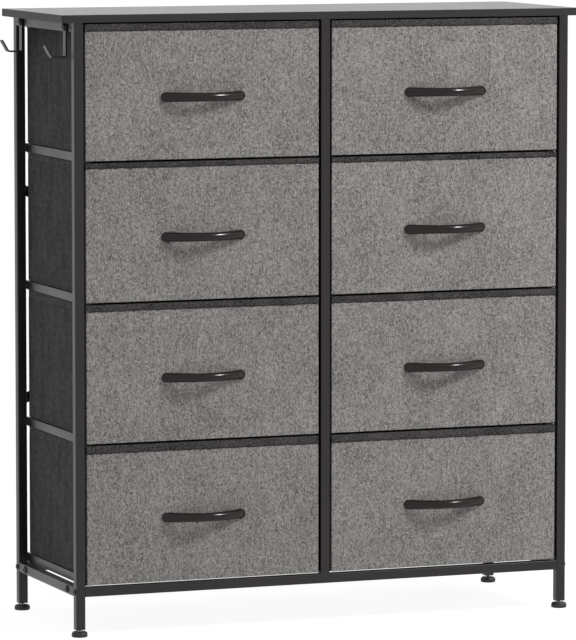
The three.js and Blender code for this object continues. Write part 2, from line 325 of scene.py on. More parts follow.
def cut_across(mesh, axis, low, high, pitch):
    """Cuts every face at even steps along one axis."""
    normal = Vector((0, 0, 0))
    normal[axis] = 1
    count = max(1, round((high - low) / pitch))
    for step in range(1, count):
        place = normal * (low + (high - low) * step / count)
        whole = mesh.verts[:] + mesh.edges[:] + mesh.faces[:]
        bmesh.ops.bisect_plane(mesh, geom=whole, plane_co=place, plane_no=normal)


def add_ring(mesh, segments, place_at):
    """A ring of vertices; place_at turns an angle into a place. Returns its edges."""
    ring = bmesh.ops.create_circle(mesh, segments=segments, radius=1)["verts"]
    edges = dict.fromkeys(edge for vert in ring for edge in vert.link_edges)
    for vert in ring:
        vert.co = place_at(math.atan2(vert.co.y, vert.co.x))
    return list(edges)


def skin(mesh, rings):
    """Joins neighbouring rings, and fills the two ends."""
    for one, other in zip(rings, rings[1:]):
        bmesh.ops.bridge_loops(mesh, edges=one + other)
    for end in (rings[0], rings[-1]):
        bmesh.ops.edgeloop_fill(mesh, edges=end)


def add_rod(mesh, path, radius_at, segments, up):
    """A round rod along a path; up is a direction that the path never takes."""
    up = Vector(up)
    rings = []
    for index, point in enumerate(path):
        before = path[max(index - 1, 0)]
        after = path[min(index + 1, len(path) - 1)]
        along = (Vector(after) - Vector(before)).normalized()
        side = along.cross(up).normalized()
        other = along.cross(side)
        radius = radius_at(index)

        def place_at(angle, point=Vector(point), side=side, other=other, radius=radius):
            return point + (side * math.cos(angle) + other * math.sin(angle)) * radius

        rings.append(add_ring(mesh, segments, place_at))
    skin(mesh, rings)


def spin_profile(mesh, profile, steps):
    """Turns an outline of (radius, height) points round the z axis. Returns the new vertices."""
    before = set(mesh.verts)
    verts = [mesh.verts.new((radius, 0, height)) for radius, height in profile]
    edges = [mesh.edges.new(pair) for pair in zip(verts, verts[1:])]
    bmesh.ops.spin(mesh, geom=verts + edges, cent=(0, 0, 0), axis=(0, 0, 1),
                   angle=math.tau, steps=steps, use_merge=True)
    made = [vert for vert in mesh.verts if vert not in before]
    bmesh.ops.remove_doubles(mesh, verts=made, dist=MERGE_DISTANCE)
    return [vert for vert in mesh.verts if vert not in before]


def quarter_turn():
    """Angles from 0 to a right angle, in even steps."""
    return [step / ROUND_STEPS * math.pi / 2 for step in range(ROUND_STEPS + 1)]


def move_to(mesh, verts, matrix):
    bmesh.ops.transform(mesh, matrix=matrix, verts=verts)


def axis_matrix(place, outward):
    """Turns the z axis of a part to a direction, and moves its origin to a place."""
    turn = Vector((0, 0, 1)).rotation_difference(Vector(outward)).to_matrix().to_4x4()
    return Matrix.Translation(Vector(place)) @ turn


# Materials

def linear(colour):
    """Linear RGBA of an sRGB hex colour."""
    def channel(value):
        value /= 255
        return value / 12.92 if value <= 0.04045 else ((value + 0.055) / 1.055) ** 2.4
    return tuple(channel(int(colour[i:i + 2], 16)) for i in (1, 3, 5)) + (1,)


def add_node(tree, kind, inputs=None, **settings):
    """Adds a node; inputs are values or other nodes' output sockets, by name or number."""
    node = tree.nodes.new(kind)
    for key, value in settings.items():
        setattr(node, key, value)
    for key, value in (inputs or {}).items():
        if isinstance(value, bpy.types.NodeSocket):
            tree.links.new(value, node.inputs[key])
        else:
            node.inputs[key].default_value = value
    return node


def new_material(name):
    material = bpy.data.materials.new(name)
    material.use_nodes = True
    tree = material.node_tree
    tree.nodes.clear()
    return material, tree


def close_material(tree, **inputs):
    named = {key.replace("_", " "): value for key, value in inputs.items()}
    shader = add_node(tree, "ShaderNodeBsdfPrincipled", named)
    add_node(tree, "ShaderNodeOutputMaterial", {"Surface": shader.outputs["BSDF"]})


def object_place(tree, widths):
    """Object coordinates divided by a pattern's size along each axis, in millimetres."""
    place = add_node(tree, "ShaderNodeTexCoord").outputs["Object"]
    scale = tuple(1 / (width * MM) for width in widths)
    return add_node(tree, "ShaderNodeMapping", {"Vector": place, "Scale": scale}).outputs["Vector"]


def speckle(tree, widths, detail=2.0):
    """Noise from 0 to 1 whose grains have these widths."""
    place = object_place(tree, widths)
    inputs = {"Vector": place, "Scale": 1.0, "Detail": detail, "Roughness": 0.5}
    return add_node(tree, "ShaderNodeTexNoise", inputs).outputs["Fac"]


def spread(tree, value, low, high, new_low, new_high):
    inputs = {"Value": value, "From Min": low, "From Max": high,
              "To Min": new_low, "To Max": new_high}
    return add_node(tree, "ShaderNodeMapRange", inputs, clamp=True).outputs["Result"]


def total(tree, *weighted):
    """Sum of values times their weights."""
    result = 0.0
    for value, weight in weighted:
        result = add_node(tree, "ShaderNodeMath", {0: value, 1: weight, 2: result},
                          operation="MULTIPLY_ADD").outputs["Value"]
    return result


def blend_colours(tree, share, dark, light):
    inputs = {0: share, 6: linear(dark), 7: linear(light)}
    return add_node(tree, "ShaderNodeMix", inputs, data_type="RGBA").outputs[2]


def bump(tree, height, depth):
    """Surface relief; depth in millimetres."""
    inputs = {"Height": height, "Distance": depth * MM, "Strength": 1.0}
    return add_node(tree, "ShaderNodeBump", inputs).outputs["Normal"]


def powder_coat():
    """Black powder coat on steel: baked resin, half gloss, with a fine orange peel."""
    material, tree = new_material("powder_coated_steel_black")
    # The real peel is about 0.5 mm; drawn at 1.6 mm so that it still shows
    peel = speckle(tree, (1.6, 1.6, 1.6), detail=1.0)
    cloud = speckle(tree, (90, 90, 90))
    colour = blend_colours(tree, spread(tree, cloud, 0.3, 0.7, 0, 1), "#191416", "#1f181a")
    rough = spread(tree, cloud, 0.3, 0.7, 0.30, 0.36)
    close_material(tree, Base_Color=colour, Roughness=rough, IOR=1.42,
                   Normal=bump(tree, peel, 0.03))
    return material


def zinc_steel():
    """Bright zinc plating on the threaded stems."""
    material, tree = new_material("zinc_plated_steel")
    cloud = speckle(tree, (3, 3, 3))
    colour = blend_colours(tree, cloud, "#cfd2d5", "#e6e8ea")
    rough = spread(tree, cloud, 0.3, 0.7, 0.25, 0.4)
    close_material(tree, Base_Color=colour, Metallic=1.0, Roughness=rough)
    return material


def black_oxide():
    """Black oxide screws: thin dark conversion coat, a little glossier than the powder coat."""
    material, tree = new_material("black_oxide_screw_steel")
    grain = speckle(tree, (0.8, 0.8, 0.8))
    colour = blend_colours(tree, grain, "#0e0d0e", "#1a191a")
    rough = spread(tree, grain, 0.3, 0.7, 0.28, 0.42)
    close_material(tree, Base_Color=colour, Roughness=rough, IOR=1.5,
                   Normal=bump(tree, grain, 0.02))
    return material


def board_laminate():
    """Dark laminate on particle board: printed paper under melamine, faint grain along it."""
    material, tree = new_material("melamine_laminate_dark")
    # Pores of the printed grain are 0.4 mm wide; drawn at 1.2 mm so that they show
    pores = speckle(tree, (40, 1.2, 1.2), detail=3.0)
    figure = speckle(tree, (260, 14, 14))
    share = total(tree, (pores, 0.5), (figure, 0.5))
    colour = blend_colours(tree, spread(tree, share, 0.35, 0.65, 0, 1), "#1f1e1e", "#2b2928")
    rough = spread(tree, share, 0.35, 0.65, 0.31, 0.26)
    close_material(tree, Base_Color=colour, Roughness=rough, IOR=1.5,
                   Normal=bump(tree, pores, 0.03))
    return material


def edge_band():
    """ABS edge band: smooth extruded plastic in the laminate's colour."""
    material, tree = new_material("abs_edge_band_dark")
    figure = speckle(tree, (120, 120, 3))
    colour = blend_colours(tree, spread(tree, figure, 0.3, 0.7, 0, 1), "#131212", "#1a1919")
    close_material(tree, Base_Color=colour, Roughness=0.53, IOR=1.42)
    return material


def yarn_floats(tree, widths, waver):
    """A random value from 0 to 1 for each float of yarn; waver, in millimetres, bends the rows."""
    drift = add_node(tree, "ShaderNodeTexNoise",
                     {"Vector": object_place(tree, (22, 22, 22)), "Scale": 1.0, "Detail": 1.0})
    bend = tuple(waver / width for width in widths)
    bent = add_node(tree, "ShaderNodeVectorMath",
                    {0: drift.outputs["Color"], 1: bend, 2: object_place(tree, widths)},
                    operation="MULTIPLY_ADD")
    cell = add_node(tree, "ShaderNodeVectorMath", {0: bent.outputs["Vector"]}, operation="FLOOR")
    value = add_node(tree, "ShaderNodeTexWhiteNoise", {"Vector": cell.outputs["Vector"]})
    return value.outputs["Value"]


def linen_cloth():
    """Linen-look polyester: two greys of slubby yarn in a plain weave, matt with a faint fuzz."""
    material, tree = new_material("linen_look_polyester_grey")
    # Real threads are about 0.5 mm; drawn 1.3 to 1.5 mm wide so that they show at this size
    warp = yarn_floats(tree, (1.4, 900, 3.1), 4)
    weft = yarn_floats(tree, (3.0, 900, 1.5), 4)
    fuzz = speckle(tree, (1.3, 1.3, 2.6))
    slub = speckle(tree, (2.2, 2.2, 30), detail=1.0)
    cloud = speckle(tree, (60, 60, 80))
    share = total(tree, (warp, 0.26), (weft, 0.16), (fuzz, 0.3), (slub, 0.14), (cloud, 0.14))
    colour = blend_colours(tree, spread(tree, share, 0.3, 0.7, 0, 1), "#4f4d4c", "#9b9895")
    threads = total(tree, (warp, 0.4), (weft, 0.3), (fuzz, 0.3))
    close_material(tree, Base_Color=colour, Roughness=0.92, IOR=1.4, Sheen_Weight=0.1,
                   Sheen_Roughness=0.5, Normal=bump(tree, threads, 0.2))
    return material


def dark_cloth():
    """Dark melange box cloth: brushed non-woven polyester, mottled by its uneven fibre."""
    material, tree = new_material("melange_cloth_charcoal")
    # Real fibres are far under 0.1 mm; drawn 3 mm wide so that the melange shows
    fibre = speckle(tree, (3, 3, 7))
    mottle = speckle(tree, (17, 17, 8))
    streak = speckle(tree, (22, 22, 48), detail=1.0)
    share = total(tree, (fibre, 0.3), (mottle, 0.4), (streak, 0.3))
    colour = blend_colours(tree, spread(tree, share, 0.36, 0.64, 0, 1), "#1f1c1d", "#454242")
    close_material(tree, Base_Color=colour, Roughness=0.95, IOR=1.35, Sheen_Weight=0.05,
                   Sheen_Roughness=0.5, Normal=bump(tree, fibre, 0.2))
    return material


def binding_cloth():
    """Folded binding of the hems: the box cloth in double thickness, with a wavy press."""
    material, tree = new_material("melange_binding_charcoal")
    fibre = speckle(tree, (3.0, 3.0, 2.7), detail=3.0)
    cloud = speckle(tree, (26, 26, 26), detail=1.0)
    share = total(tree, (fibre, 0.8), (cloud, 0.2))
    colour = blend_colours(tree, spread(tree, share, 0.38, 0.62, 0, 1), "#0f0d0e", "#4f4b4b")
    close_material(tree, Base_Color=colour, Roughness=0.93, IOR=1.35, Sheen_Weight=0.05,
                   Sheen_Roughness=0.5, Normal=bump(tree, fibre, 0.5))
    return material


def thread_with_painted_shade_line():
    """Black polyester sewing thread; near-black and thick, its broken line also paints the hems'
    shade line.
    """
    material, tree = new_material("polyester_thread_black_painted_shade_line")
    twist = speckle(tree, (0.7, 0.7, 0.7))
    colour = blend_colours(tree, twist, "#0b0a0a", "#191717")
    close_material(tree, Base_Color=colour, Roughness=0.7, IOR=1.45)
    return material


def handle_plastic():
    """Black ABS, injection moulded with a satin skin."""
    material, tree = new_material("moulded_abs_black")
    cloud = speckle(tree, (35, 35, 35))
    grain = speckle(tree, (0.9, 0.9, 0.9))
    colour = blend_colours(tree, cloud, "#120807", "#170b0a")
    rough = spread(tree, cloud, 0.3, 0.7, 0.15, 0.2)
    close_material(tree, Base_Color=colour, Roughness=rough, IOR=1.36,
                   Normal=bump(tree, grain, 0.006))
    return material


def foot_plastic():
    """Black polypropylene feet and plugs: moulded, matt."""
    material, tree = new_material("moulded_polypropylene_black")
    grain = speckle(tree, (1.2, 1.2, 1.2))
    colour = blend_colours(tree, grain, "#1b1a1b", "#242324")
    close_material(tree, Base_Color=colour, Roughness=0.5, IOR=1.45,
                   Normal=bump(tree, grain, 0.03))
    return material


POWDER_COAT = powder_coat()
ZINC = zinc_steel()
SCREW_STEEL = black_oxide()
LAMINATE = board_laminate()
EDGE_BAND = edge_band()
LINEN = linen_cloth()
BOX_CLOTH = dark_cloth()
BINDING = binding_cloth()
THREAD_AND_SHADE_LINE = thread_with_painted_shade_line()
HANDLE_ABS = handle_plastic()
FOOT_PP = foot_plastic()


def add_piece(name, mesh, finish, body, stands_for=()):
    """Turns a mesh in millimetres into a finished piece of the scene."""
    bmesh.ops.remove_doubles(mesh, verts=mesh.verts, dist=MERGE_DISTANCE)
    bmesh.ops.recalc_face_normals(mesh, faces=mesh.faces)
    bmesh.ops.scale(mesh, vec=(MM, MM, MM), verts=mesh.verts)
    data = bpy.data.meshes.new(name)
    mesh.to_mesh(data)
    mesh.free()
    data.shade_smooth()
    data.set_sharp_from_angle(angle=SHARP_ANGLE)
    data.materials.append(finish)
    piece = bpy.data.objects.new(name, data)
    bpy.context.scene.collection.objects.link(piece)
    even = piece.modifiers.new("flat_faces_stay_flat", "WEIGHTED_NORMAL")
    even.keep_sharp = True
    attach(piece, body)
    if stands_for:
        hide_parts(*stands_for)
    return piece


# Frame

def tube_mesh(node, axis):
    """Square tube with rolled corners, open at both ends."""
    mesh = new_box(*corners(node))
    remove_faces(mesh, faces_across(mesh, axis))
    round_edges(mesh, edges_along(mesh, axis), TUBE_CORNER, CORNER_STEPS)
    thicken(mesh, TUBE_WALL)
    return mesh


def add_tube(node, axis):
    add_piece(f"{node}_tube", tube_mesh(node, axis), POWDER_COAT, "frame", (node,))


def add_frame_tubes():
    for depth in DEPTHS:
        for place in PLACES:
            add_tube(f"post_{depth}_{place}", Z)
        add_tube(f"bottom_rail_{depth}", X)
    for side in SIDES:
        add_tube(f"bottom_rail_{side}", Y)
    for place in PLACES:
        add_tube(f"top_rail_{place}", Y)
        for row in ROWS:
            add_tube(f"drawer_rail_{place}_{row}", Y)


def add_weld(mesh, start, end):
    """Rippled bead from one point to another."""
    start, end = Vector(start), Vector(end)
    length = (end - start).length
    count = max(WELD_LEAST_STEPS, round(length / WELD_RIPPLE_PITCH * 2))
    path = [start.lerp(end, step / count) for step in range(count + 1)]

    def radius_at(index):
        if index in (0, count):
            return WELD_RADIUS / 2
        return WELD_RADIUS + (WELD_RIPPLE if index % 2 else -WELD_RIPPLE)

    direction = (end - start).normalized()
    up = (1, 0, 0) if abs(direction.z) > PARALLEL else (0, 0, 1)
    add_rod(mesh, path, radius_at, WELD_SEGMENTS, up)


def add_upright_weld(mesh, x, y, bottom, top):
    add_weld(mesh, (x, y, bottom + RAIL_WELD_INSET), (x, y, top - RAIL_WELD_INSET))


def add_side_welds(side):
    """Beads in the corners between the posts and the side's rails."""
    mesh = bmesh.new()
    post_low, post_high = corners(f"post_front_{side}")
    rear_low = corners(f"post_rear_{side}")[0]
    seams = (post_high.y, rear_low.y)
    low, high = corners(f"bottom_rail_{side}")
    for z in (corners(f"top_rail_{side}")[0].z, low.z, high.z):
        for y in seams:
            add_weld(mesh, (low.x + WELD_INSET, y, z), (high.x - WELD_INSET, y, z))
    inner = post_high.x if side == "left" else post_low.x
    for row in ROWS:
        low, high = corners(f"drawer_rail_{side}_{row}")
        for y in seams:
            add_upright_weld(mesh, inner, y, low.z, high.z)
    add_piece(f"weld_beads_{side}", mesh, POWDER_COAT, "frame")


def add_centre_welds():
    mesh = bmesh.new()
    post_low, post_high = corners("post_front_centre")
    rear_low = corners("post_rear_centre")[0]
    for row in ROWS:
        low, high = corners(f"drawer_rail_centre_{row}")
        for y in (post_high.y, rear_low.y):
            for x in (post_low.x, post_high.x):
                add_upright_weld(mesh, x, y, low.z, high.z)
    add_piece("weld_beads_centre", mesh, POWDER_COAT, "frame")


def add_plug(mesh, low, high, axis):
    """Plastic stopper, rounded at its outer rim."""
    plug = new_box(low, high)
    round_edges(plug, edges_along(plug, axis), TUBE_CORNER, CORNER_STEPS)
    round_edges(plug, square_edges(plug), PLUG_ROUNDING, EDGE_STEPS)
    append(mesh, plug)


def add_rail_plugs(place):
    """Stoppers in the open ends of the drawer rails."""
    mesh = bmesh.new()
    inset = Vector((TUBE_WALL, RAIL_PLUG_INSET, TUBE_WALL))
    for row in ROWS:
        low, high = corners(f"drawer_rail_{place}_{row}")
        low, high = low + inset, high - inset
        add_plug(mesh, low, Vector((high.x, low.y + RAIL_PLUG_DEPTH, high.z)), Y)
        add_plug(mesh, Vector((low.x, high.y - RAIL_PLUG_DEPTH, low.z)), high, Y)
    add_piece(f"rail_plugs_{place}", mesh, FOOT_PP, "frame")


def add_leg_plugs():
    """Stoppers in the leg ends, which hold the feet's threads."""
    mesh = bmesh.new()
    for depth in DEPTHS:
        for side in SIDES:
            low, high = corners(f"post_{depth}_{side}")
            inset = Vector((TUBE_WALL, TUBE_WALL, 0))
            top = Vector((high.x, high.y, low.z + LEG_PLUG_LENGTH))
            add_plug(mesh, low + inset, top - inset, Z)
    add_piece("leg_plugs", mesh, FOOT_PP, "frame")


# Board

def add_board():
    low, high = corners("top_board")
    rim = Vector((BAND_THICKNESS + BAND_SEAM,) * 2 + (0,))
    core = new_box(low + rim, high - rim)
    round_edges(core, edges_along(core, Z), BOARD_CORNER - BAND_THICKNESS, CORNER_STEPS)
    round_edges(core, square_edges(core), CORE_EDGE, 1)
    add_piece("board_laminate", core, LAMINATE, "frame", ("top_board",))
    band = new_box(low, high)
    remove_faces(band, faces_across(band, Z))
    round_edges(band, edges_along(band, Z), BOARD_CORNER, ROUND_STEPS)
    thicken(band, BAND_THICKNESS)
    piece = add_piece("board_edge_band", band, EDGE_BAND, "frame")
    soften(piece, BAND_EDGE, EDGE_STEPS)


def soften(piece, radius, steps):
    """Live bevel on a piece's sharp edges."""
    bevel = piece.modifiers.new("soft_edges", "BEVEL")
    bevel.width = radius * MM
    bevel.segments = steps
    bevel.limit_method = "ANGLE"
    bevel.angle_limit = SOFT_ANGLE
    piece.modifiers.move(len(piece.modifiers) - 1, 0)


# Screws

def hex_share(angle):
    """Radius of a hexagon, as a share of its corner radius."""
    half = math.pi / 6
    turned = (angle + half) % (2 * half) - half
    return math.cos(half) / math.cos(turned)


def cross_share(angle):
    """Radius of a cross recess, as a share of its arm."""
    turned = abs((angle + math.pi / 4) % (math.pi / 2) - math.pi / 4)
    return 1.0 if turned < CROSS_ARM_ANGLE else CROSS_HUB_SHARE


def add_screw(mesh, place, outward, size, recess_share=hex_share):
    """Button head with a recess, and its shank, in place."""
    radius, height, recess_radius = size
    shoulder = height * SHOULDER_SHARE
    inner = recess_radius * DOME_START_SHARE
    dome = [(inner + (radius - inner) * math.cos(turn),
             shoulder + (height - shoulder) * math.sin(turn)) for turn in quarter_turn()]
    recess_floor = height * RECESS_FLOOR_SHARE
    profile = [(0, recess_floor), (recess_radius * RECESS_TAPER_SHARE, recess_floor),
               (recess_radius, height * RECESS_RIM_SHARE), *reversed(dome), (radius, 0),
               (SHANK_RADIUS, 0), (SHANK_RADIUS, -SHANK_LENGTH), (0, -SHANK_LENGTH)]
    verts = spin_profile(mesh, profile, SCREW_STEPS)
    for vert in verts:
        reach = math.hypot(vert.co.x, vert.co.y)
        if TOUCHING < reach < recess_radius + TOUCHING and vert.co.z > 0:
            share = recess_share(math.atan2(vert.co.y, vert.co.x))
            vert.co.x *= share
            vert.co.y *= share
    move_to(mesh, verts, axis_matrix(place, outward))


def add_hook_screws():
    for depth in DEPTHS:
        low, high = corners(f"hook_screw_{depth}")
        mesh = bmesh.new()
        seat = low.x + HOOK_SCREW[1]
        middle = (low + high) / 2
        add_screw(mesh, (seat, middle.y, middle.z), (-1, 0, 0), HOOK_SCREW)
        add_piece(f"hook_screw_{depth}_head", mesh, SCREW_STEEL, "frame",
                  (f"hook_screw_{depth}",))


def add_frame_screws():
    """Screws at both ends of the bottom rails, on the left and right faces."""
    for side, outward in (("left", -1), ("right", 1)):
        mesh = bmesh.new()
        low, high = corners(f"bottom_rail_{side}")
        face = low.x if outward < 0 else high.x
        level = low.z + FRAME_SCREW_RISE
        front_low, front_high = corners(f"post_front_{side}")
        rear_low, rear_high = corners(f"post_rear_{side}")
        for y in ((front_low.y + front_high.y) / 2, (rear_low.y + rear_high.y) / 2):
            add_screw(mesh, (face, y, level), (outward, 0, 0), POST_SCREW)
        for y in (front_low.y + RAIL_SCREW_INSET, rear_high.y - RAIL_SCREW_INSET):
            add_screw(mesh, (face, y, level), (outward, 0, 0), RAIL_SCREW)
        add_piece(f"frame_screws_{side}", mesh, SCREW_STEEL, "frame")


def add_board_screws():
    mesh = bmesh.new()
    for place in PLACES:
        low, high = corners(f"top_rail_{place}")
        for share in BOARD_SCREW_SHARES:
            y = low.y + (high.y - low.y) * share
            add_screw(mesh, ((low.x + high.x) / 2, y, low.z), (0, 0, -1), PAN_SCREW, cross_share)
    add_piece("board_screws", mesh, SCREW_STEEL, "frame")


# Hooks and braces

def add_hook(depth):
    """Bent strip hook: plate on the rail, floor and slanted tip with round corners."""
    low, high = corners(f"hook_{depth}")
    tip_angle = math.atan2(HOOK_TIP_RISE, HOOK_TIP_RUN)
    plate_x = high.x - HOOK_THICKNESS
    floor = low.z + HOOK_THICKNESS
    tip_x = low.x + HOOK_THICKNESS * math.sin(tip_angle)
    tip_top = floor + HOOK_TIP_RISE
    path = [(plate_x, high.z), (plate_x, floor), (tip_x + HOOK_TIP_RUN, floor), (tip_x, tip_top)]
    mesh = swept_line([(x, low.y, z) for x, z in path], (0, high.y - low.y, 0))
    ends = [v for v in mesh.verts if math.hypot(v.co.x - tip_x, v.co.z - tip_top) < TOUCHING]
    round_edges(mesh, ends, HOOK_TIP_CORNER, ROUND_STEPS, "VERTICES")
    bends = [e for e in edges_along(mesh, Y) if len(e.link_faces) == 2]
    round_edges(mesh, bends, HOOK_BEND, HOOK_BEND_STEPS)
    thicken(mesh, HOOK_THICKNESS)
    slide_to(mesh, high.x, X)
    piece = add_piece(f"hook_{depth}_strip", mesh, POWDER_COAT, "frame",
                      (f"hook_{depth}",))
    soften(piece, STRIP_EDGE, EDGE_STEPS)


def slide_to(mesh, highest, axis):
    """Slides a mesh along an axis until its highest point is at a value."""
    shift = Vector((0, 0, 0))
    shift[axis] = highest - max(v.co[axis] for v in mesh.verts)
    bmesh.ops.translate(mesh, verts=mesh.verts, vec=shift)


def add_brace(name, tilt, step):
    """Flat strip across the back; one of the two steps out round the other."""
    low, high = corners(name)
    middle = (low + high) / 2
    rear_left = corners("post_rear_left")
    rear_right = corners("post_rear_right")
    run = (rear_right[1].x + rear_right[0].x - rear_left[1].x - rear_left[0].x) / 2
    half = math.hypot(run, BRACE_RISE) / 2 + BRACE_END
    hole_half = half - BRACE_HOLE_INSET
    path = [(-half, 0), (-BRACE_FLAT_HALF - BRACE_RAMP, 0), (-BRACE_FLAT_HALF, step),
            (BRACE_FLAT_HALF, step), (BRACE_FLAT_HALF + BRACE_RAMP, 0), (half, 0)]
    mesh = swept_line([(x, y, -BRACE_WIDTH / 2) for x, y in path], (0, 0, BRACE_WIDTH))
    ends = [v for v in mesh.verts if abs(v.co.x) > half - TOUCHING]
    round_edges(mesh, ends, BRACE_CORNER, ROUND_STEPS, "VERTICES")
    thicken(mesh, BRACE_THICKNESS)
    lowest = min(v.co.y for v in mesh.verts)
    angle = -tilt * math.atan2(BRACE_RISE, run)
    turn = Matrix.Rotation(angle, 4, "Y")
    place = Matrix.Translation((middle.x, low.y - lowest, middle.z))
    move_to(mesh, mesh.verts, place @ turn)
    piece = add_piece(f"{name}_strip", mesh, POWDER_COAT, "frame", (name,))
    soften(piece, BRACE_EDGE, 1)
    return [place @ turn @ Vector((side * hole_half, 0, 0)) for side in (-1, 1)]


def add_braces():
    screws = bmesh.new()
    ends = add_brace("back_brace_inner", 1, 0) + add_brace("back_brace_outer", -1, BRACE_STEP)
    seat = corners("back_brace_inner")[1].y
    for end in ends:
        add_screw(screws, (end.x, seat, end.z), (0, 1, 0), PAN_SCREW, cross_share)
    add_piece("brace_screws", screws, SCREW_STEEL, "frame")


# Feet

def foot_outline():
    """Outline of the foot's disc, from its hollow base to the middle of its top."""
    outline = [(0, FOOT_HOLLOW)]
    for turn in quarter_turn():
        outline.append((FOOT_RADIUS - FOOT_BASE_ROUNDING + FOOT_BASE_ROUNDING * math.sin(turn),
                        FOOT_BASE_ROUNDING - FOOT_BASE_ROUNDING * math.cos(turn)))
    for turn in quarter_turn():
        outline.append((FOOT_RADIUS - FOOT_TOP_ROUNDING + FOOT_TOP_ROUNDING * math.cos(turn),
                        FOOT_HEIGHT - FOOT_TOP_ROUNDING + FOOT_TOP_ROUNDING * math.sin(turn)))
    return outline + [(0, FOOT_HEIGHT)]


def add_foot(depth, side):
    node = f"foot_{depth}_{side}"
    body = f"glide_{depth}_{side}"
    low, high = corners(node)
    middle = (low + high) / 2
    place = Matrix.Translation((middle.x, middle.y, low.z))
    disc = bmesh.new()
    verts = spin_profile(disc, foot_outline(), FOOT_STEPS)
    move_to(disc, verts, place)
    add_piece(f"{node}_disc", disc, FOOT_PP, body, (node,))
    stem = bmesh.new()
    add_thread(stem, FOOT_HEIGHT - STEM_SINK, high.z - low.z, place)
    add_piece(f"{node}_stem", stem, ZINC, body)


def add_thread(mesh, bottom, top, place):
    """Threaded stem: rings whose radius follows the thread's helix."""
    levels = round((top - bottom) / THREAD_PITCH * THREAD_RINGS)
    rings = []
    for level in range(levels + 1):
        z = bottom + (top - bottom) * level / levels

        def place_at(angle, z=z):
            phase = (z / THREAD_PITCH - angle / math.tau) % 1
            radius = STEM_RADIUS - THREAD_DEPTH * (1 - abs(2 * phase - 1))
            return place @ Vector((radius * math.cos(angle), radius * math.sin(angle), z))

        rings.append(add_ring(mesh, THREAD_STEPS, place_at))
    skin(mesh, rings)


# Drawers

def stitch_matrix(place, along, outward):
    along, outward = Vector(along).normalized(), Vector(outward).normalized()
    across = along.cross(outward)
    turn = Matrix((along, across, outward)).transposed().to_4x4()
    size = Matrix.Diagonal((STITCH_LENGTH / 2, STITCH_RADIUS, STITCH_RADIUS, 1))
    return Matrix.Translation(place) @ turn @ size


def add_stitches(mesh, start, end, outward):
    """A row of stitches: one stitch, copied along the seam."""
    start, end = Vector(start), Vector(end)
    count = int((end - start).length / STITCH_PITCH)
    step = (end - start) / count
    row = bmesh.new()
    bmesh.ops.create_uvsphere(row, u_segments=STITCH_SEGMENTS, v_segments=STITCH_RINGS, radius=1,
                              matrix=stitch_matrix(start + step / 2, step, outward))
    bmesh.ops.spin(row, geom=row.verts[:] + row.edges[:] + row.faces[:], cent=(0, 0, 0),
                   axis=(0, 0, 1), dvec=step, angle=0, steps=count - 1, use_duplicate=True)
    append(mesh, row)


def fold_at(across, rise, seed):
    """Depth of the cloth's long soft folds, with narrower creases in them, from 0 to 1."""
    fold = noise.noise(Vector((across / FOLD_WIDTH, rise / FOLD_LENGTH, seed)))
    crease = noise.noise(Vector((across / FOLD_WIDTH * CREASE_NARROWING,
                                 rise / FOLD_LENGTH * CREASE_SHORTENING, seed + CREASE_SEED_STEP)))
    return min(1.0, max(0.0, WAVE_MEAN + FOLD_SHARE * fold + CREASE_SHARE * crease))


def ease(value, low, high, margin):
    """0 at both ends of a range, 1 from a margin inwards."""
    near = min(value - low, high - value) / margin
    near = min(1.0, max(0.0, near))
    return near * near * (3 - 2 * near)


def cloth_box(low, high, seed):
    """Box of cloth over thin board, open on top, whose walls have soft upright folds."""
    mesh = new_box(low, high)
    remove_faces(mesh, faces_across(mesh, Z, (1,)))
    round_edges(mesh, edges_along(mesh, Z), BOX_CORNER, CORNER_STEPS)
    base_edges = square_edges(mesh, high=low.z + TOUCHING)
    round_edges(mesh, base_edges, BOX_BASE_ROUNDING, EDGE_STEPS)
    cut_across(mesh, Y, low.y, high.y, WALL_PITCH)
    cut_across(mesh, X, low.x, high.x, WALL_PITCH * 2)
    cut_across(mesh, Z, low.z, high.z, WALL_RISE_PITCH)
    middle = (low + high) / 2
    for vert in mesh.verts:
        place = vert.co.copy()
        for axis, other in ((X, Y), (Y, X)):
            if min(abs(place[axis] - low[axis]), abs(place[axis] - high[axis])) > TOUCHING:
                continue
            side = 1 if place[axis] < middle[axis] else -1
            held = ease(place[other], low[other], high[other], FOLD_SIDE_HOLD)
            held *= ease(place.z, low.z, high.z - BOX_HEM_HEIGHT + FOLD_UNDER_HEM, FOLD_RISE_HOLD)
            wall_seed = seed + axis * WALL_SEED_STEP + side
            depth = FOLD_DEPTH * fold_at(place[other], place.z, wall_seed)
            vert.co[axis] += side * held * depth
    thicken(mesh, BOX_WALL)
    return mesh


def box_hem(low, high, rise):
    """Folded binding round the box's open top, which rises behind the front by a given height."""
    proud = Vector((BOX_HEM_PROUD, BOX_HEM_PROUD, 0))
    mesh = new_box(Vector((low.x, low.y, high.z - BOX_HEM_HEIGHT)) - proud, high + proud)
    remove_faces(mesh, faces_across(mesh, Z))
    corner = BOX_CORNER + BOX_HEM_PROUD
    round_edges(mesh, edges_along(mesh, Z), corner, BOX_HEM_STEPS)
    thicken(mesh, BOX_WALL + 2 * BOX_HEM_PROUD)
    mesh.normal_update()
    round_edges(mesh, square_edges(mesh, low=high.z - TOUCHING), BOX_HEM_ROUNDING, CORNER_STEPS)
    base = high.z - BOX_HEM_HEIGHT
    base_edges = square_edges(mesh, high=base + TOUCHING)
    round_edges(mesh, base_edges, BOX_HEM_BASE_ROUNDING, EDGE_STEPS)
    for vert in mesh.verts:
        if vert.co.z > high.z - BOX_HEM_ROUNDING - TOUCHING:
            behind = vert.co.y - low.y + BOX_HEM_PROUD
            vert.co.z += rise * min(1.0, max(0.0, behind / corner))
    return mesh


